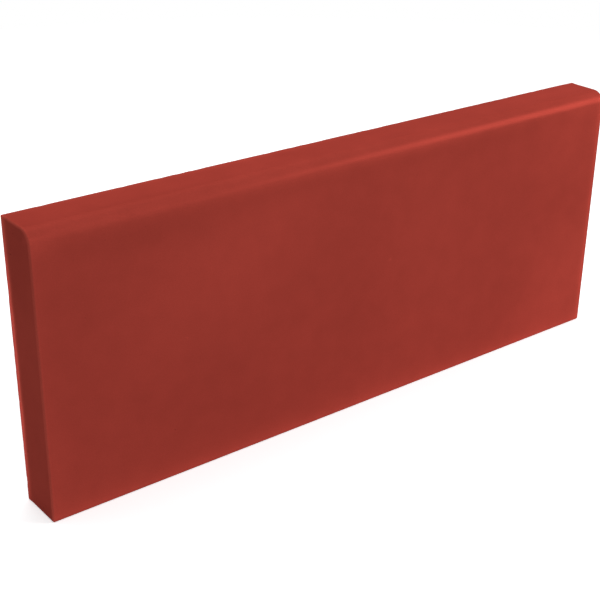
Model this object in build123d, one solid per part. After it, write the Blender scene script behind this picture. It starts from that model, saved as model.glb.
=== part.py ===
from build123d import *
import os

# A garden curb, cast in one piece from pigmented concrete, standing as it is used.
# It lies face down in its mould, so the front face, the nose and the ends take the soft
# edges of the mould. The back is the open side, struck off flat with a crisp arris.
# Units are millimetres. The origin is the middle of the footprint, +Z is up, the length
# runs along X and the front face looks along -Y.

# Overall size of the curb
length = 500.0
height = 200.0
thickness = 35.0

# The nose is the quarter round in which the front face turns into the top
nose_radius = 10.0

# Rounding that the mould gives every edge outside the back
mould_edge_radius = 1.5

# Rounding of the arris all round the struck-off back
back_edge_radius = 0.8

# Degrees that each end leans in towards the front, so that the casting leaves its mould
end_draft_angle = 0.8

# Places of the two large faces, and how closely an edge is matched to a place
front_y = -thickness / 2
back_y = thickness / 2
place_tolerance = 0.01


def cross_section():
    """The upright section: a slab whose upper front corner is the round of the nose."""
    with BuildSketch(Plane.YZ) as section:
        with BuildLine():
            flat_sides = Polyline(
                (front_y, height - nose_radius),
                (front_y, 0),
                (back_y, 0),
                (back_y, height),
                (front_y + nose_radius, height),
            )
            TangentArc(flat_sides @ 1, flat_sides @ 0, tangent=flat_sides % 1)
        make_face()
    return section.sketch


def draft_ends(slab):
    """Lean both ends in towards the front, turning each about its edge in the back."""
    by_place = slab.faces().sort_by(Axis.X)
    back_plane = Plane(origin=(0, back_y, 0), z_dir=(0, -1, 0))
    return draft([by_place[0], by_place[-1]], back_plane, end_draft_angle)


def is_in_back(edge):
    """True for an edge of the struck-off back."""
    return edge.bounding_box().min.Y > back_y - place_tolerance


def is_nose_tangent(edge):
    """True for the two long edges in which the nose runs smoothly into its neighbours."""
    middle = edge.center()
    joins_front = abs(middle.Z - (height - nose_radius)) < place_tolerance
    joins_top = abs(middle.Y - (front_y + nose_radius)) < place_tolerance
    return edge.length > length / 2 and (joins_front or joins_top)


def ease_mould_edges(slab):
    """Round the edges of the front, the nose, the top and the base as the mould does."""
    edges = [e for e in slab.edges() if not is_in_back(e) and not is_nose_tangent(e)]
    return fillet(edges, mould_edge_radius)


def ease_back_arris(slab):
    """Take the sharpness off the arris all round the back."""
    return fillet([e for e in slab.edges() if is_in_back(e)], back_edge_radius)


def make_curb():
    """Draw the section out to the length, then draft the ends and ease the edges."""
    slab = extrude(cross_section(), amount=length / 2, both=True)
    return ease_back_arris(ease_mould_edges(draft_ends(slab)))


curb = make_curb()
curb.label = "curb"

os.makedirs("parts", exist_ok=True)
export_step(curb, "parts/curb.step")
print("curb volume in cubic millimetres:", round(curb.volume))
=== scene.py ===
import math
import bmesh
import bpy
import numpy as np
from mathutils import Matrix, Vector, noise


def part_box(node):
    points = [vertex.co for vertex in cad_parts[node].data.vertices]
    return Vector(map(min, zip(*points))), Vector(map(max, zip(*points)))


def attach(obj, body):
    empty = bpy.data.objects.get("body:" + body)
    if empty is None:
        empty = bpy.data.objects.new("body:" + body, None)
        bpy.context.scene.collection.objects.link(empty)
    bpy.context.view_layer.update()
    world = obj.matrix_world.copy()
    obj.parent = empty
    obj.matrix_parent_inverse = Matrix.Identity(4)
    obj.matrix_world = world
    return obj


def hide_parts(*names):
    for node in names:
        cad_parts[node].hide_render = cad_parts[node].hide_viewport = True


# The looks of a cast concrete garden curb: one dense mesh with the relief of the casting and
# its pits, one red concrete material, a plain pale floor, soft lamps and the camera.
# Everything is in metres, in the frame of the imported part, unless a comment says mm.

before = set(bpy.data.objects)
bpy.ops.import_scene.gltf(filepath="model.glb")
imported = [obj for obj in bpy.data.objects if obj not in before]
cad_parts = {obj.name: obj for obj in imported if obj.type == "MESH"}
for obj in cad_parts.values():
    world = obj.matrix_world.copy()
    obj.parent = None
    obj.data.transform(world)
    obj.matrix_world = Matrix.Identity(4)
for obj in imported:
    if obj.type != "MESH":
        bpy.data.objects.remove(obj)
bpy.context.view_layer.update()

MM = 0.001

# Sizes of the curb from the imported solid, then the radii and the draft of its source
box_low, box_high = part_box("curb")
half_length = box_high.x
front_y = box_low.y
back_y = box_high.y
height = box_high.z
nose_radius = 10 * MM
mould_edge_radius = 1.5 * MM
back_edge_radius = 0.8 * MM
end_draft_angle = math.radians(0.8)
end_draft_slope = math.tan(end_draft_angle)

# Radius of the edges round the ends against the solid's own: a little less, so that the corners
# of the section don't shrink to a point there
end_edge_share = 0.95

# Depth from the back over which an end edge stays crisp, and over which it then softens
arris_flat = 1 * MM
arris_blend = 6 * MM

# Cells of the mesh: across the section, up the section, along the length, round an end edge
cells_across = 25
cells_up = 112
cells_along = 250
cells_round_end = 5

# How even the cells are: 1 is even spacing, and less crowds them towards the edges
even_spacing_share = 0.45

# Corners of the section, anticlockwise from the lower front: centre, radius, start angle, cells
corners = [
    ((front_y + mould_edge_radius, mould_edge_radius), mould_edge_radius, 180, 6),
    ((back_y - back_edge_radius, back_edge_radius), back_edge_radius, 270, 4),
    ((back_y - back_edge_radius, height - back_edge_radius), back_edge_radius, 0, 4),
    ((front_y + nose_radius, height - nose_radius), nose_radius, 90, 16),
]
side_cells = [cells_across, cells_up, cells_across, cells_up]

# Degrees into the round of a corner at its middle, where two sides meet, and at its end
round_middle = 45
round_end = 90

# How far the noise is shifted along X, Y and Z from one seed to the next
seed_steps = (7.3, 3.1, 5.7)

# Waves in the moulded and in the struck-off faces: length in mm along X, Y, Z, seed and depth
mould_waves = [
    ((90, 90, 60), 1, 0.05 * MM),
    ((14, 14, 14), 2, 0.006 * MM),
]
struck_waves = [
    ((140, 20, 5), 3, 0.12 * MM),
    ((45, 45, 30), 4, 0.14 * MM),
    ((5, 5, 4), 5, 0.05 * MM),
]

# Spots of torn paste in the back and chips in its arris: length of the waves in mm, seed, and
# the levels of the noise at which a spot starts and is full
torn_spots = ((11, 11, 8), 6, 0.25, 0.6)
chip_spots = ((6, 6, 6), 7, 0.15, 0.5)

# Depth of the torn paste, of what the arris has lost all along, and of a chip beyond that
torn_depth = 0.25 * MM
arris_loss = 0.08 * MM
chip_depth = 0.3 * MM

# Depths from the back at which the chipped arris starts and is full
chips_start = 1.2 * MM
chips_full = 0.3 * MM

# How squarely the surface looks back where it starts to be struck off, and where it fully is
back_turn = (0.5, 0.95)

# Pits that air bubbles leave, by face: how many, and their smallest and largest radius
front_pits = (9, 0.20 * MM, 0.42 * MM)
top_pits = (5, 0.20 * MM, 0.40 * MM)
end_pits = (9, 0.30 * MM, 0.90 * MM)
base_pits = (24, 0.40 * MM, 1.40 * MM)
back_pits = (110, 0.50 * MM, 2.00 * MM)
pit_seed = 11

# Least distance from a pit to the next one and to the edge of its face
pit_clearance = 5 * MM

# How much small pits outnumber large ones: 1 is not at all, and a higher value is more
small_pit_favour = 2

# Depth of a pit against the radius of the ball that cuts it, and how finely that is divided
pit_depth_share = 0.75
pit_divisions = 2

# Faces narrower than this, which cutting the pits can leave, are merged away
sliver_width = 0.005 * MM

# Edges that bend by more than this stay sharp in the shading
sharp_angle = math.radians(40)

# The one pit that shows on the front: its place along the length, its height and radius
seen_pit = (-157 * MM, 36 * MM, 0.6 * MM)

# The one pit that shows on the left end: its place in the depth, its height and radius
seen_end_pit = (11.3 * MM, 39.6 * MM, 0.95 * MM)

# The one light fleck that shows on the front: its place along the length, its height and
# radius, and how much lighter it is
seen_fleck = (28.8 * MM, 112 * MM, 2.1 * MM)
fleck_gain = 0.18

# Soft patches of painted light and shade on the front, with some tone of the concrete: middle,
# half width and half height in mm, and strength
front_light_and_tone_patches = [
    (-110, 150, 70, 40, 0.045),
    (-5, 95, 42, 85, -0.055),
    (225, 35, 50, 50, 0.13),
    (195, 20, 35, 20, 0.05),
    (155, 42, 25, 35, -0.05),
    (215, 165, 45, 35, 0.07),
    (215, 115, 45, 30, -0.05),
    (-165, 179, 60, 9, -0.08),
    (-180, 158, 22, 25, -0.04),
    (-130, 62, 40, 28, -0.05),
    (-225, 115, 40, 60, -0.07),
    (-215, 12, 60, 28, 0.055),
    (-65, 108, 45, 30, -0.04),
    (130, 130, 55, 50, -0.045),
    (0, 184, 230, 4, -0.03),
    (0, 10, 120, 20, 0.06),
    (-243, 40, 8, 35, 0.05),
    (-177, 67, 4, 4, -0.05),
    (40, 40, 60, 20, 0.025),
    (30, 191.3, 130, 2.4, 0.09),
    (236, 189, 22, 7, 0.09),
    (-246, 189, 14, 7, 0.12),
    (98, 179, 16, 5, -0.06),
    (178, 56, 12, 14, -0.05),
]

# Soft patches of painted light and shade on the top and the nose, a painted highlight and shade
# along the nose among them, with some tone of the concrete: middle along the length and its
# distance from the top of the back measured round the section, half width and half depth in mm,
# and strength
upper_light_and_tone_patches = [
    (-185, 27.5, 90, 3.4, -0.085),
    (-185, 36, 80, 3.2, 0.085),
    (-245, 24, 15, 10, -0.05),
    (215, 13, 75, 12, 0.08),
    (-130, 35.5, 60, 1.6, -0.06),
    (-75, 3.5, 75, 3.5, 0.07),
    (140, 3, 75, 3, -0.09),
    (242, 37, 16, 2, -0.13),
    (238, 31.5, 20, 3, 0.08),
]

# Soft patches of painted shade and tone on each end: middle depth and height, half width and half
# height in mm, and strength
end_light_and_tone_patches = [
    (0, 185, 30, 45, -0.10),
    (0, 60, 30, 40, -0.02),
]

# Where a zone of painted light and tone fades out: depths behind the front, and distances from
# the end
front_fade = (1 * MM, 2 * MM)
end_fade = (0.5 * MM, 1.5 * MM)

# Share of the nose's radius below the top at which the painted light and shade of the nose is
# full
nose_full_share = 0.8

# Depths from the back over which the struck-off surface ends
struck_fade = (1.1 * MM, 1.8 * MM)

# Painted rim light on the front, lighter towards its lower edge and its two ends: strength and
# fade
low_rim_light = (0.50, 6.2 * MM)
left_rim_light = (0.04, 9 * MM)
right_rim_light = (1.1, 2.4 * MM)

# Nearer to its edge than this, the low or the right painted rim light grows no stronger
level_rim = 3 * MM

# Distances from the right end over which its painted rim light comes in, past the rounding of the
# edge
right_rim_start = (0.5 * MM, 2.5 * MM)

# Painted glint, a painted highlight on the moulded edges round the left end: strength and reach
# past their roundings
edge_glint = (0.27, 0.75 * MM)

# Wear along the back's arris, with painted rim light on it at each end: strength and reach at
# each end, and at the top and base
left_wear_and_light = (2.2, 4.5 * MM)
right_wear_and_light = (0.5, 3 * MM)
long_wear = (0.06, 5 * MM)

# How firmly the wear, the painted rim light and the painted glint hold their strength before they
# fall off: 1 is a plain fade
wear_and_light_hold = 3

# The wear and painted light at an end fade this many times faster over the back than over the end
back_wear_and_light_rate = 2.5

# The wear and painted light at an end are strongest at this height and fall off over this
# distance
end_wear_and_light_height = 100 * MM
end_wear_and_light_spread = 80 * MM

# The reach of that wear and painted light wavers by this share, in waves of this length in mm,
# from this seed
wear_and_light_waver = 0.18
waver_waves = (16, 16, 16)
waver_seed = 8

# Colours of the concrete: as moulded, on the ends as a painted shade colour, where dust lies on
# it, and on a worn arris, where the light red is wear and, at the ends, painted rim light
red = (0.385, 0.049, 0.0345, 1)
# Painted shade colour: the ends' red is less saturated, standing in for the hue of their shade
shaded_end_red = (0.385, 0.0565, 0.0397, 1)
dusty_red = (0.72, 0.125, 0.09, 1)
worn_and_lit_red = (1.0, 0.140, 0.105, 1)

# Noise in the material: length of its waves, and detail
cloud_noise = (110 * MM, 2)
mottle_noise = (16 * MM, 3)
grain_noise = (0.8 * MM, 2)
streak_noise = (4 * MM, 3)
lump_noise = (4.5 * MM, 3)
crumb_noise = (1.8 * MM, 2)
scuff_noise = (5 * MM, 4)
torn_noise = (2.6 * MM, 6)

# Levels of a noise between which its whole effect lies, from a soft to a stark contrast
soft_levels = (0.2, 0.8)
clear_levels = (0.3, 0.7)
stark_levels = (0.35, 0.65)

# How far each noise swings the tone of the concrete up and down
cloud_swing = 0.05
mottle_swing = 0.05
grain_swing = 0.07

# Spots: size of their cells, radius, and share of the cells that have one
sand_spots = (2.2 * MM, 0.30 * MM, 0.35)
dark_spots = (3.1 * MM, 0.26 * MM, 0.30)
pore_spots = (7 * MM, 0.36 * MM, 0.45)

# Tone inside the spots, where 1 is the tone around them
sand_tone = 1.08
dark_tone = 0.90
pore_tone = 0.75

# Share of a spot's radius that is solid, before its soft rim
spot_core_share = 0.6

# The film of dust on the back: least and most share of the colour, how far streaks, lumps and
# crumbs swing it, and how much the length is scaled to draw out the streaks
film_shares = (0.12, 0.28)
streak_swing = 0.3
lump_swing = 0.35
crumb_swing = 0.5
streak_scale = 0.12

# Least share of the wear and painted rim light that scuffs leave
scuff_share = 0.85

# Roughness: least and most on the moulded faces, then on the back and where worn
mould_roughness = (0.32, 0.38)
struck_roughness = 0.85
worn_roughness = 0.7

# Depth of the relief too fine for the mesh: grain, pores, and torn paste on the back
grain_depth = 0.012 * MM
pore_depth = 0.20 * MM
torn_paste_depth = 0.55 * MM

# Gloss: a small metallic share alone, with a tint that keeps the concrete red where it is seen
# at a low angle
metallic_share = 0.1
gloss_level = 0.0
gloss_tint = (1, 0.45, 0.45, 1)

# The floor: half its side, its colour for the light, how much its white glows near the curb,
# and the distances over which it turns into pure white
floor_half_side = 4
pale_grey = (0.5, 0.5, 0.5, 1)
white = (1, 1, 1, 1)
near_glow = 0.5
floor_fade = (0.45, 1.3)

# The soft light from all round
world_colour = (0.96, 1.04, 1.06, 1)
world_strength = 0.373

# Round soft lamps: name, place, width and watts
lamps = [
    ("key", (2.26, -1.38, 0.99), 1.6, 56),
    ("overhead", (0, 0.8, 1.9), 2.2, 17.2),
]

# The camera: how far round from the front it stands, to the left where negative, how steeply
# it looks down, how far it is turned about its line of sight, and its distance
camera_azimuth = math.radians(-37.777)
camera_elevation = math.radians(25.321)
camera_roll = math.radians(0.644)
camera_distance = 936.535 * MM

# How far to its own right and up of the frame's origin the camera aims
aim_right = -30.482 * MM
aim_up = 73.250 * MM

# The lens: its focal length in pixels of a picture this wide, and the sensor's width in mm
focal_pixels = 1234.41
picture_pixels = 600
sensor_width = 36


def smooth_step(value, low, high):
    """0 below low, 1 above high and a smooth rise between, for a number or an array."""
    t = np.clip((value - low) / (high - low), 0, 1)
    return t * t * (3 - 2 * t)


def graded(count):
    """Shares from 0 to 1 in count steps, closer together near both ends."""
    even = np.arange(count + 1) / count
    eased = (1 - np.cos(math.pi * even)) / 2
    return even_spacing_share * even + (1 - even_spacing_share) * eased


def arc(corner, first_degree, last_degree, count):
    """Points of a corner's round and their outward directions, counted from its start."""
    centre, radius, start, _ = corner
    angles = np.radians(start + np.linspace(first_degree, last_degree, count + 1))
    directions = np.stack([np.cos(angles), np.sin(angles)], axis=1)
    return np.array(centre) + radius * directions, directions


def section_side(corner, next_corner, cells):
    """One side of the section, from the middle of a corner to the middle of the next."""
    leaving_cells, arriving_cells = corner[3] // 2, next_corner[3] // 2
    leaving, leaving_out = arc(corner, round_middle, round_end, leaving_cells)
    arriving, arriving_out = arc(next_corner, 0, round_middle, arriving_cells)
    flat_cells = cells - leaving_cells - arriving_cells
    shares = graded(flat_cells)[1:-1, None]
    flat = leaving[-1] + shares * (arriving[0] - leaving[-1])
    flat_out = np.repeat(leaving_out[-1:], len(flat), axis=0)
    points = np.concatenate([leaving, flat, arriving[:-1]])
    outward = np.concatenate([leaving_out, flat_out, arriving_out[:-1]])
    return points, outward


def section_loop():
    """The whole section as (y, z) points and outward directions."""
    sides = [
        section_side(corners[i], corners[(i + 1) % 4], side_cells[i])
        for i in range(4)
    ]
    return (
        np.concatenate([points for points, _ in sides]),
        np.concatenate([outward for _, outward in sides]),
    )


def end_plane(y):
    """How far out the drafted end lies at a depth y."""
    return half_length - end_draft_slope * (back_y - y)


def end_radius(y):
    """Radius of the edge round an end: soft from the mould, crisp at the back."""
    from_back = smooth_step(back_y - y, arris_flat, arris_flat + arris_blend)
    radius = back_edge_radius + (mould_edge_radius - back_edge_radius) * from_back
    return end_edge_share * radius


def body_rings(section, outward):
    """Rings of points along the curb with their outward directions, end edges included."""
    radius = end_radius(section[:, 0])
    reach = end_plane(section[:, 0]) - radius
    rings, directions = [], []
    turns = np.linspace(0, math.pi / 2, cells_round_end + 1)
    stations = [(-1, turn) for turn in turns[:0:-1]]
    stations += [(2 * share - 1, 0) for share in graded(cells_along)]
    stations += [(1, turn) for turn in turns[1:]]
    for place, turn in stations:
        inset = radius * (1 - math.cos(turn))
        x = place * (reach + radius * math.sin(turn))
        yz = section - inset[:, None] * outward
        out_x = np.full(len(section), math.copysign(math.sin(turn), place))
        rings.append(np.column_stack([x, yz]))
        directions.append(np.column_stack([out_x, outward * math.cos(turn)]))
    return np.array(rings), np.array(directions)


def end_grid(rim, sign):
    """Points inside an end face, spread between the four sides of its rim."""
    corner_at = np.cumsum([0] + side_cells)
    yz = rim[:, 1:]
    loop = np.concatenate([yz, yz[:1]])
    bottom = loop[corner_at[0]:corner_at[1] + 1]
    back = loop[corner_at[1]:corner_at[2] + 1]
    top = loop[corner_at[2]:corner_at[3] + 1][::-1]
    front = loop[corner_at[3]:corner_at[4] + 1][::-1]
    across = np.linspace(0, 1, cells_across + 1)[1:-1, None, None]
    up = np.linspace(0, 1, cells_up + 1)[None, 1:-1, None]
    between_rows = (1 - up) * bottom[1:-1, None] + up * top[1:-1, None]
    between_columns = (1 - across) * front[None, 1:-1] + across * back[None, 1:-1]
    between_corners = (
        (1 - across) * (1 - up) * bottom[0]
        + across * (1 - up) * bottom[-1]
        + (1 - across) * up * top[0]
        + across * up * top[-1]
    )
    grid = between_rows + between_columns - between_corners
    x = sign * end_plane(grid[..., :1])
    return np.concatenate([x, grid], axis=2)


def end_faces(rim_start, grid_start, flip):
    """Faces of an end, joining its rim to the grid inside it."""
    loop_size = sum(side_cells)
    rows = cells_up - 1

    def vertex(i, j):
        """The vertex that lies i cells across and j cells up."""
        if j == 0:
            return rim_start + i
        if i == cells_across:
            return rim_start + cells_across + j
        if j == cells_up:
            return rim_start + 2 * cells_across + cells_up - i
        if i == 0:
            return rim_start + (loop_size - j) % loop_size
        return grid_start + (i - 1) * rows + (j - 1)

    faces = []
    for i in range(cells_across):
        for j in range(cells_up):
            quad = [vertex(i, j), vertex(i + 1, j), vertex(i + 1, j + 1), vertex(i, j + 1)]
            faces.append(quad[::-1] if flip else quad)
    return faces


def plain_body():
    """Points, outward directions and faces of the curb before its relief."""
    section, outward = section_loop()
    rings, directions = body_rings(section, outward)
    ring_count, loop_size = rings.shape[:2]
    faces = []
    for ring in range(ring_count - 1):
        here, there = ring * loop_size, (ring + 1) * loop_size
        for k in range(loop_size):
            after = (k + 1) % loop_size
            faces.append([here + k, here + after, there + after, there + k])
    left_grid = end_grid(rings[0], -1).reshape(-1, 3)
    right_grid = end_grid(rings[-1], 1).reshape(-1, 3)
    body_size = ring_count * loop_size
    faces += end_faces(0, body_size, True)
    faces += end_faces(body_size - loop_size, body_size + len(left_grid), False)
    points = np.concatenate([rings.reshape(-1, 3), left_grid, right_grid])
    sideways = np.array([[1.0, 0.0, 0.0]])
    directions = np.concatenate([
        directions.reshape(-1, 3),
        np.repeat(-sideways, len(left_grid), axis=0),
        np.repeat(sideways, len(right_grid), axis=0),
    ])
    return points, directions, faces


def field(points, waves, seed):
    """Smooth noise from -1 to 1 with waves of the given lengths in mm along X, Y and Z."""
    shift = Vector([seed * step for step in seed_steps])
    scaled = points / (np.array(waves) * MM)
    return np.array([noise.noise(Vector(p) + shift) for p in scaled])


def wavy(points, layers):
    """Depth of several layers of waves, each from 0 to twice its own depth."""
    return sum(depth * (1 + field(points, waves, seed)) for waves, seed, depth in layers)


def spotted(points, spots):
    """1 in separate spots and 0 between them."""
    waves, seed, start, full = spots
    return smooth_step(field(points, waves, seed), start, full)


def relief_depth(points, directions):
    """How deep each point lies under the plain form, in metres, never above it."""
    mould = wavy(points, mould_waves)
    struck = wavy(points, struck_waves) + torn_depth * spotted(points, torn_spots)
    on_back = smooth_step(directions[:, 1], *back_turn)
    depth = mould + (struck - mould) * on_back

    near_back = smooth_step(points[:, 1], back_y - chips_start, back_y - chips_full)
    on_arris = near_back * (1 - on_back)
    return depth + on_arris * (arris_loss + chip_depth * spotted(points, chip_spots))


def make_body():
    """The mesh of the curb with the waviness of its mould and its struck-off back."""
    points, directions, faces = plain_body()
    points = points - directions * relief_depth(points, directions)[:, None]
    mesh = bpy.data.meshes.new("curb_body")
    mesh.from_pydata(points.tolist(), [], faces)
    mesh.validate()
    mesh.update()
    body = bpy.data.objects.new("curb_body", mesh)
    bpy.context.scene.collection.objects.link(body)
    return body


def scattered(rng, pits, low, high):
    """Seeded places and radii for a face's pits between two corners, clear of each other."""
    count, smallest, largest = pits
    found = []
    while len(found) < count:
        place = rng.uniform(low, high)
        radius = smallest + (largest - smallest) * rng.uniform() ** small_pit_favour
        if all(math.dist(place, other) > pit_clearance for other, _ in found):
            found.append((place, radius))
    return found


def pit_list():
    """Every pit as its place on the surface, its outward direction and its radius."""
    rng = np.random.default_rng(pit_seed)
    margin = pit_clearance
    reach = half_length - margin
    below_nose = height - 2 * nose_radius
    below_top = height - margin
    behind_front = front_y + margin
    behind_nose = front_y + nose_radius + margin
    before_back = back_y - margin
    pits = [
        ((seen_pit[0], front_y, seen_pit[1]), (0, -1, 0), seen_pit[2]),
        ((-end_plane(seen_end_pit[0]), *seen_end_pit[:2]), (-1, 0, 0), seen_end_pit[2]),
    ]
    for (x, z), radius in scattered(rng, front_pits, (-reach, margin), (reach, below_nose)):
        pits.append(((x, front_y, z), (0, -1, 0), radius))
    for (x, y), radius in scattered(rng, top_pits, (-reach, behind_nose), (reach, before_back)):
        pits.append(((x, y, height), (0, 0, 1), radius))
    for (x, y), radius in scattered(rng, base_pits, (-reach, behind_front), (reach, before_back)):
        pits.append(((x, y, 0), (0, 0, -1), radius))
    for (x, z), radius in scattered(rng, back_pits, (-reach, margin), (reach, below_top)):
        pits.append(((x, back_y, z), (0, 1, 0), radius))
    for sign in (-1, 1):
        low, high = (behind_front, margin), (before_back, below_nose)
        for (y, z), radius in scattered(rng, end_pits, low, high):
            pits.append(((sign * end_plane(y), y, z), (sign, 0, 0), radius))
    return pits


def make_pit_cutter():
    """One mesh of small balls that stand in the surface where the pits are."""
    cutter = bmesh.new()
    for place, outward, radius in pit_list():
        centre = Vector(place) + Vector(outward) * radius * (1 - pit_depth_share)
        spot = Matrix.Translation(centre)
        bmesh.ops.create_icosphere(cutter, subdivisions=pit_divisions, radius=radius, matrix=spot)
    mesh = bpy.data.meshes.new("pit_cutter")
    cutter.to_mesh(mesh)
    cutter.free()
    balls = bpy.data.objects.new("pit_cutter", mesh)
    bpy.context.scene.collection.objects.link(balls)
    return balls


def cut_pits(body):
    """Take the pits out of the mesh and keep the result as plain geometry."""
    balls = make_pit_cutter()
    cut = body.modifiers.new("pits", "BOOLEAN")
    cut.operation = "DIFFERENCE"
    cut.solver = "EXACT"
    cut.object = balls
    shaped = body.evaluated_get(bpy.context.evaluated_depsgraph_get())
    mesh = bpy.data.meshes.new_from_object(shaped)
    body.modifiers.clear()
    body.data = mesh
    bpy.data.objects.remove(balls)


def clean_and_smooth(mesh):
    """Merge away the slivers that the cut leaves, then shade all but the sharp edges smooth."""
    merged = bmesh.new()
    merged.from_mesh(mesh)
    bmesh.ops.dissolve_degenerate(merged, dist=sliver_width, edges=merged.edges)
    merged.to_mesh(mesh)
    merged.free()
    for polygon in mesh.polygons:
        polygon.use_smooth = True
    mesh.set_sharp_from_angle(angle=sharp_angle)


def clouds(along, across, patches):
    """Sum of soft patches at places given by two distances in metres."""
    total = np.zeros(len(along))
    for middle, level, half_width, half_depth, strength in patches:
        u = (along / MM - middle) / half_width
        v = (across / MM - level) / half_depth
        total += strength * np.exp(-u ** 2 - v ** 2)
    return total


def faded(distance, rim):
    """A painted rim light's strength at its edge, fading away from it."""
    strength, fade = rim
    return strength * np.exp(-distance / fade)


def held_near(distance, wear):
    """A strength of wear, painted rim light or painted glint at an edge, held near it and then
    falling off.
    """
    strength, reach = wear
    return strength * np.exp(-(distance / reach) ** wear_and_light_hold)


def round_section(points):
    """Distance of each point from the top of the back, over the top and round the nose."""
    before = front_y + nose_radius - points[:, 1]
    above = points[:, 2] - (height - nose_radius)
    flat_top = back_y - front_y - nose_radius
    over_top = back_y - points[:, 1]
    round_nose = flat_top + nose_radius * np.arctan2(before, above)
    return np.where(before > 0, round_nose, over_top)


def from_skin(points):
    """Distance of each point from the sides of the section, the nose included."""
    y, z = points[:, 1], points[:, 2]
    nearest = np.min([y - front_y, back_y - y, z, height - z], axis=0)
    before, above = front_y + nose_radius - y, z - (height - nose_radius)
    from_nose = nose_radius - np.hypot(before, above)
    return np.where((before > 0) & (above > 0), from_nose, nearest)


def from_end(points):
    """Distance of each point from the nearer end."""
    return end_plane(points[:, 1]) - abs(points[:, 0])


def share_of_front(points):
    """1 on the front and 0 past the start of its edges."""
    return 1 - smooth_step(points[:, 1] - front_y, *front_fade)


def share_of_end(points):
    """1 on the two ends and 0 past their edges."""
    return 1 - smooth_step(from_end(points), *end_fade)


def light_and_tone_zone(points):
    """How light each point is: 1, changed by the patches of painted light, shade and tone on the
    front, nose, top and ends.
    """
    x, y, z = points.T
    nose_full = height - nose_full_share * nose_radius
    on_upper = smooth_step(z, height - nose_radius, nose_full)
    front_light_and_tone = clouds(x, z, front_light_and_tone_patches) * share_of_front(points)
    upper_light_and_tone = clouds(x, round_section(points), upper_light_and_tone_patches) * on_upper
    end_light_and_tone = clouds(y, z, end_light_and_tone_patches) * share_of_end(points)
    return 1 + front_light_and_tone + upper_light_and_tone + end_light_and_tone


def rim_light_zone(points):
    """How much painted rim light and painted glint lighten each point near the front's edges and
    the left end's roundings.
    """
    x, _, z = points.T
    beside = from_end(points)
    right_side = faded(np.maximum(beside, level_rim), right_rim_light)
    right_side *= smooth_step(beside, *right_rim_start)
    side_rim_light = np.where(x < 0, faded(beside, left_rim_light), right_side)
    base_rim_light = faded(np.maximum(z, level_rim), low_rim_light)
    from_edge = beside + from_skin(points) - mould_edge_radius / 2
    # Painted highlight on the rounded edges of the left end
    glint = held_near(from_edge, edge_glint) * (x < 0)
    return (base_rim_light + side_rim_light) * share_of_front(points) + glint


def wear_and_light_zone(points):
    """How worn each point is near the arris round the back, with painted rim light on it at the
    ends.
    """
    x, y, z = points.T
    from_back = back_y - y
    up_end = np.exp(-((z - end_wear_and_light_height) / end_wear_and_light_spread) ** 2)
    waver = 1 + wear_and_light_waver * field(points, waver_waves, waver_seed)
    from_arris = (from_back + back_wear_and_light_rate * from_end(points)) * waver
    worn_and_lit_left = held_near(from_arris, left_wear_and_light)
    worn_and_lit_end = np.where(x < 0, worn_and_lit_left, held_near(from_arris, right_wear_and_light))
    worn_long = held_near(from_back + np.minimum(z, height - z), long_wear)
    return np.maximum(worn_and_lit_end * up_end, worn_long)


def store(mesh, name, values):
    """Keep one number for each point of the mesh, for the material to read."""
    layer = mesh.attributes.new(name, "FLOAT", "POINT")
    layer.data.foreach_set("value", np.asarray(values, dtype=np.float32))


def store_zones(mesh):
    """Mark the zones of the surface for the material."""
    points = np.empty(len(mesh.vertices) * 3, dtype=np.float32)
    mesh.vertices.foreach_get("co", points)
    points = points.reshape(-1, 3)
    store(mesh, "light_and_tone", light_and_tone_zone(points))
    store(mesh, "end", share_of_end(points))
    # The rim zone holds painted rim light and painted glint
    store(mesh, "rim", rim_light_zone(points))
    store(mesh, "struck", 1 - smooth_step(back_y - points[:, 1], *struck_fade))
    store(mesh, "worn_and_lit", wear_and_light_zone(points))


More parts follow.
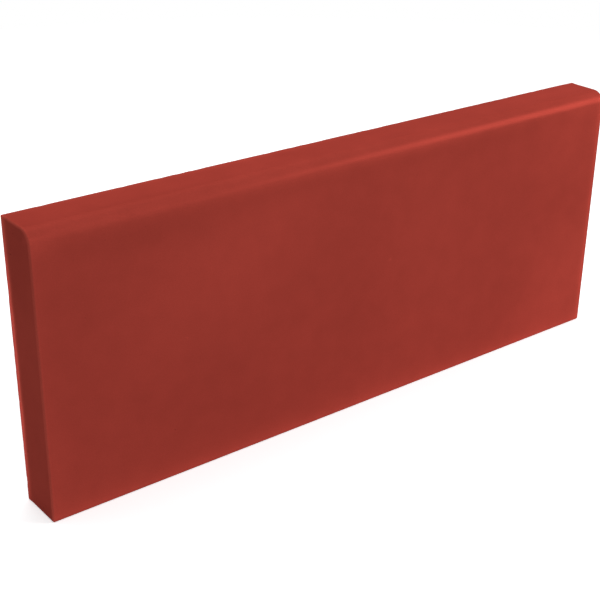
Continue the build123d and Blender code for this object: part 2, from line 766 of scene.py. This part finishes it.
class Shading:
    """Short ways to add and link the nodes of one material or world."""

    # Places of the two colours and of the result among the sockets of a colour mix
    mix_first, mix_second, mix_result = 6, 7, 2

    def __init__(self, tree):
        self.tree = tree

    def plug(self, socket, value):
        """Link an output to a socket, or set the socket to a constant."""
        if isinstance(value, bpy.types.NodeSocket):
            self.tree.links.new(value, socket)
        else:
            socket.default_value = value

    def add(self, kind, inputs=(), **settings):
        """A new node with its settings and with values for its inputs, in their order."""
        made = self.tree.nodes.new(kind)
        for name, value in settings.items():
            setattr(made, name, value)
        for socket, value in zip(made.inputs, inputs):
            self.plug(socket, value)
        return made

    def calc(self, operation, *values):
        """The output of one math node."""
        return self.add("ShaderNodeMath", values, operation=operation).outputs[0]

    def span(self, value, low, high, to_low, to_high):
        """The value taken from one range to another and held inside it."""
        return self.add("ShaderNodeMapRange", (value, low, high, to_low, to_high)).outputs[0]

    def varied(self, value, texture, levels, swing):
        """The value, swung down and up as a texture goes from one level to the other."""
        return self.calc("MULTIPLY", value, self.span(texture, *levels, 1 - swing, 1 + swing))

    def zone(self, name):
        """A number kept on the mesh."""
        return self.add("ShaderNodeAttribute", attribute_name=name).outputs["Fac"]

    def cloud(self, place, wave, detail):
        """Noise from 0 to 1 with waves of the given length in metres."""
        made = self.add("ShaderNodeTexNoise")
        self.plug(made.inputs["Vector"], place)
        self.plug(made.inputs["Scale"], 1 / wave)
        self.plug(made.inputs["Detail"], detail)
        return made.outputs["Fac"]

    def specks(self, place, cell, radius, share):
        """Round spots, 1 inside and 0 outside, in a share of the cells of a random grid."""
        made = self.add("ShaderNodeTexVoronoi")
        self.plug(made.inputs["Vector"], place)
        self.plug(made.inputs["Scale"], 1 / cell)
        core = spot_core_share * radius / cell
        near = self.span(made.outputs["Distance"], core, radius / cell, 1, 0)
        chance = self.add("ShaderNodeSeparateColor", (made.outputs["Color"],)).outputs[0]
        return self.calc("MULTIPLY", near, self.calc("LESS_THAN", chance, share))

    def mixed(self, share, first, second):
        """Two colours mixed by a share."""
        made = self.add("ShaderNodeMix", data_type="RGBA")
        self.plug(made.inputs["Factor"], share)
        self.plug(made.inputs[self.mix_first], first)
        self.plug(made.inputs[self.mix_second], second)
        return made.outputs[self.mix_result]

    def bent(self, relief, depth, below=None):
        """A normal bent by a relief of the given depth in metres."""
        made = self.add("ShaderNodeBump")
        self.plug(made.inputs["Height"], relief)
        self.plug(made.inputs["Distance"], depth)
        if below is not None:
            self.plug(made.inputs["Normal"], below)
        return made.outputs["Normal"]

    def seen_directly(self):
        """1 for rays from the camera, a reflection or a clear material, 0 for soft light."""
        path = self.add("ShaderNodeLightPath")
        seen = self.calc("MAXIMUM", path.outputs["Is Camera Ray"], path.outputs["Is Glossy Ray"])
        return self.calc("MAXIMUM", seen, path.outputs["Is Transmission Ray"])


def fleck_tone(shading, place):
    """The extra tone of the one light fleck on the front."""
    x, z, radius = seen_fleck
    away = shading.add("ShaderNodeVectorMath", (place, (x, front_y, z)), operation="DISTANCE")
    return shading.span(away.outputs["Value"], 0, radius, fleck_gain, 0)


def toned_red(shading, place, mottled, grain, pores):
    """The red of the concrete with its painted light, shade, rim light and glint, its fleck,
    clouds, mottling, grain and spots.
    """
    cloudy = shading.cloud(place, *cloud_noise)
    sand = shading.specks(place, *sand_spots)
    dark = shading.specks(place, *dark_spots)
    # The painted light and shade of the patches, and the painted rim light and glint, are added
    # to the tone here
    light_and_tone = shading.calc("ADD", shading.zone("light_and_tone"), shading.zone("rim"))
    light_and_tone = shading.calc("ADD", light_and_tone, fleck_tone(shading, place))
    swings = ((cloudy, cloud_swing), (mottled, mottle_swing), (grain, grain_swing))
    for texture, swing in swings:
        light_and_tone = shading.varied(light_and_tone, texture, soft_levels, swing)
    for spots, level in ((sand, sand_tone), (dark, dark_tone), (pores, pore_tone)):
        light_and_tone = shading.calc("MULTIPLY", light_and_tone, shading.span(spots, 0, 1, 1, level))
    toned = shading.add("ShaderNodeVectorMath", operation="SCALE")
    # The ends take the less saturated red that stands in for the hue of their shade
    shading.plug(toned.inputs[0], shading.mixed(shading.zone("end"), red, shaded_end_red))
    shading.plug(toned.inputs["Scale"], light_and_tone)
    return toned.outputs[0]


def dust_film(shading, place, struck, mottled):
    """Share of the dust on the back, in streaks along the length, lumps and crumbs."""
    stretch = (place, (streak_scale, 1, 1))
    along = shading.add("ShaderNodeVectorMath", stretch, operation="MULTIPLY").outputs[0]
    streaks = shading.cloud(along, *streak_noise)
    lumps = shading.cloud(place, *lump_noise)
    crumbs = shading.cloud(place, *crumb_noise)
    film = shading.calc("MULTIPLY", struck, shading.span(mottled, *clear_levels, *film_shares))
    film = shading.varied(film, streaks, clear_levels, streak_swing)
    film = shading.varied(film, lumps, stark_levels, lump_swing)
    return shading.varied(film, crumbs, stark_levels, crumb_swing)


def wear_and_light_share(shading, place, worn_and_lit):
    """Share of the light red on the arris, worn paste and painted rim light, broken up by scuffs.
    """
    scuffs = shading.cloud(place, *scuff_noise)
    return shading.calc("MULTIPLY", worn_and_lit, shading.span(scuffs, *clear_levels, scuff_share, 1))


def roughness(shading, struck, worn_and_lit, mottled):
    """Satin on the moulded faces, rough on the back and on the worn arris."""
    satin = shading.span(mottled, *clear_levels, *mould_roughness)
    rough = shading.calc("MULTIPLY", struck, struck_roughness)
    rough = shading.calc("MAXIMUM", rough, satin)
    return shading.calc("MAXIMUM", rough, shading.calc("MULTIPLY", worn_and_lit, worn_roughness))


def fine_relief(shading, place, struck, grain, pores):
    """A normal bent by relief too fine for the mesh: grain, pores and the back's torn paste."""
    torn = shading.calc("MULTIPLY", shading.cloud(place, *torn_noise), struck)
    bent = shading.bent(grain, grain_depth)
    bent = shading.bent(shading.calc("SUBTRACT", 1, pores), pore_depth, bent)
    return shading.bent(torn, torn_paste_depth, bent)


def make_concrete():
    """Dense red concrete: satin where the mould shaped it, rough and dusty where struck off."""
    material = bpy.data.materials.new("red_concrete")
    material.use_nodes = True
    shading = Shading(material.node_tree)
    place = shading.add("ShaderNodeTexCoord").outputs["Object"]
    struck = shading.zone("struck")
    worn_and_lit = shading.zone("worn_and_lit")
    mottled = shading.cloud(place, *mottle_noise)
    grain = shading.cloud(place, *grain_noise)
    pores = shading.specks(place, *pore_spots)

    moulded = toned_red(shading, place, mottled, grain, pores)
    dusted = shading.mixed(dust_film(shading, place, struck, mottled), moulded, dusty_red)
    # The light red of the arris is wear, and at the ends painted rim light too
    colour = shading.mixed(wear_and_light_share(shading, place, worn_and_lit), dusted, worn_and_lit_red)

    shader = material.node_tree.nodes["Principled BSDF"]
    shading.plug(shader.inputs["Base Color"], colour)
    shading.plug(shader.inputs["Roughness"], roughness(shading, struck, worn_and_lit, mottled))
    shading.plug(shader.inputs["Normal"], fine_relief(shading, place, struck, grain, pores))
    shading.plug(shader.inputs["Metallic"], metallic_share)
    shading.plug(shader.inputs["Specular IOR Level"], gloss_level)
    shading.plug(shader.inputs["Specular Tint"], gloss_tint)
    return material


def make_pale():
    """The floor's material: grey to the light, and seen as white with the curb's soft shadow."""
    material = bpy.data.materials.new("pale_floor")
    material.use_nodes = True
    shading = Shading(material.node_tree)
    shading.tree.nodes.remove(shading.tree.nodes["Principled BSDF"])
    pale = shading.add("ShaderNodeBsdfDiffuse", (pale_grey,)).outputs[0]
    shaded = shading.add("ShaderNodeBsdfDiffuse", (white,)).outputs[0]
    faint_glow = shading.add("ShaderNodeEmission", (white, near_glow)).outputs[0]
    glow = shading.add("ShaderNodeEmission", (white, 1)).outputs[0]
    near = shading.add("ShaderNodeAddShader", (shaded, faint_glow)).outputs[0]
    place = shading.add("ShaderNodeTexCoord").outputs["Object"]
    away = shading.add("ShaderNodeVectorMath", (place,), operation="LENGTH")
    lift = shading.span(away.outputs["Value"], *floor_fade, 0, 1)
    seen = shading.add("ShaderNodeMixShader", (lift, near, glow)).outputs[0]
    surface = shading.add("ShaderNodeMixShader", (shading.seen_directly(), pale, seen)).outputs[0]
    shading.plug(shading.tree.nodes["Material Output"].inputs["Surface"], surface)
    return material


def make_floor():
    """A pale floor under the curb."""
    mesh = bpy.data.meshes.new("floor")
    square = [(-1, -1), (1, -1), (1, 1), (-1, 1)]
    points = [(floor_half_side * x, floor_half_side * y, 0) for x, y in square]
    mesh.from_pydata(points, [], [(0, 1, 2, 3)])
    mesh.materials.append(make_pale())
    floor = bpy.data.objects.new("floor", mesh)
    bpy.context.scene.collection.objects.link(floor)


def make_world():
    """Soft light from all round, and plain white where it is seen."""
    world = bpy.data.worlds.new("studio")
    bpy.context.scene.world = world
    world.use_nodes = True
    shading = Shading(world.node_tree)
    soft = shading.tree.nodes["Background"]
    shading.plug(soft.inputs["Color"], world_colour)
    shading.plug(soft.inputs["Strength"], world_strength)
    plain = shading.add("ShaderNodeBackground", (white, 1)).outputs[0]
    choice = (shading.seen_directly(), soft.outputs[0], plain)
    surface = shading.add("ShaderNodeMixShader", choice).outputs[0]
    shading.plug(shading.tree.nodes["World Output"].inputs["Surface"], surface)


def add_lamp(name, place, width, watts):
    """A round soft lamp that looks at the middle of the curb."""
    light = bpy.data.lights.new(name, "AREA")
    light.shape = "DISK"
    light.size = width
    light.energy = watts
    lamp = bpy.data.objects.new(name, light)
    bpy.context.scene.collection.objects.link(lamp)
    lamp.location = place
    aim = Vector((0, 0, height / 2)) - Vector(place)
    lamp.rotation_euler = aim.to_track_quat("-Z", "Y").to_euler()


def add_camera():
    """The photograph's view: towards the front from the left and above, slightly turned."""
    back = Vector((
        math.sin(camera_azimuth) * math.cos(camera_elevation),
        -math.cos(camera_azimuth) * math.cos(camera_elevation),
        math.sin(camera_elevation),
    ))
    level_right = Vector((math.cos(camera_azimuth), math.sin(camera_azimuth), 0))
    level_up = back.cross(level_right)
    right = level_right * math.cos(camera_roll) + level_up * math.sin(camera_roll)
    up = level_up * math.cos(camera_roll) - level_right * math.sin(camera_roll)

    lens = bpy.data.cameras.new("camera")
    lens.sensor_width = sensor_width
    lens.lens = focal_pixels * sensor_width / picture_pixels
    camera = bpy.data.objects.new("camera", lens)
    bpy.context.scene.collection.objects.link(camera)
    place = right * aim_right + up * aim_up + back * camera_distance
    turn = Matrix((right, up, back)).transposed().to_4x4()
    camera.matrix_world = Matrix.Translation(place) @ turn
    bpy.context.scene.camera = camera


body = make_body()
cut_pits(body)
clean_and_smooth(body.data)
store_zones(body.data)
body.data.materials.append(make_concrete())
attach(body, "root")
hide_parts("curb")

make_floor()
make_world()
for name, place, width, watts in lamps:
    add_lamp(name, place, width, watts)
add_camera()
bpy.context.scene.view_settings.view_transform = "Standard"
